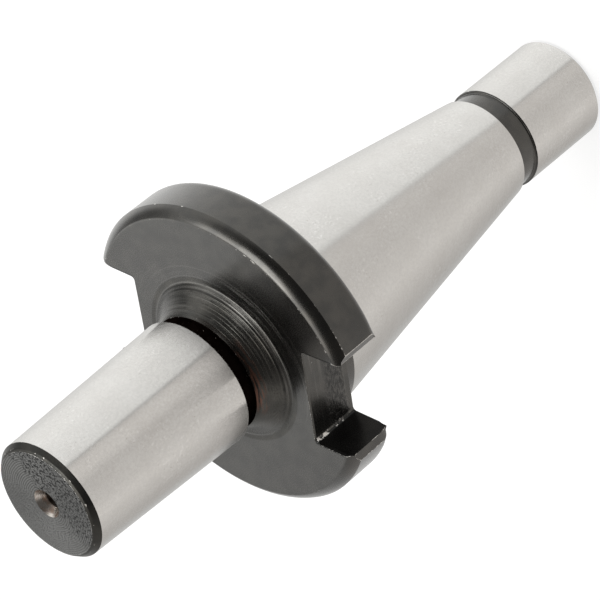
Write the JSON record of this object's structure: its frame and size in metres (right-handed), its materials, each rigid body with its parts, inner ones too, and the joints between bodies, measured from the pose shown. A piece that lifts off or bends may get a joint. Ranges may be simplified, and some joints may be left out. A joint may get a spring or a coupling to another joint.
{
  "type": "drill chuck arbor",
  "caption": "Steel drill chuck arbor: a short chuck taper on a slotted driving flange, with a steep spindle taper and a rear pilot behind it.",
  "frame": {"origin": "on the axis, in the gauge plane of the spindle taper, where its diameter is 31.75 mm", "axes": "+Z along the axis from the spindle taper towards the chuck taper; the driving slots lie at +Y and -Y"},
  "size_m": [0.05, 0.0462, 0.1152],
  "materials": {
    "steel": "ground bright tapers and pilot, black oxide flange, hub, neck and groove"
  },
  "bodies": {
    "root": {"arbor": "steel"}
  },
  "joints": []
}
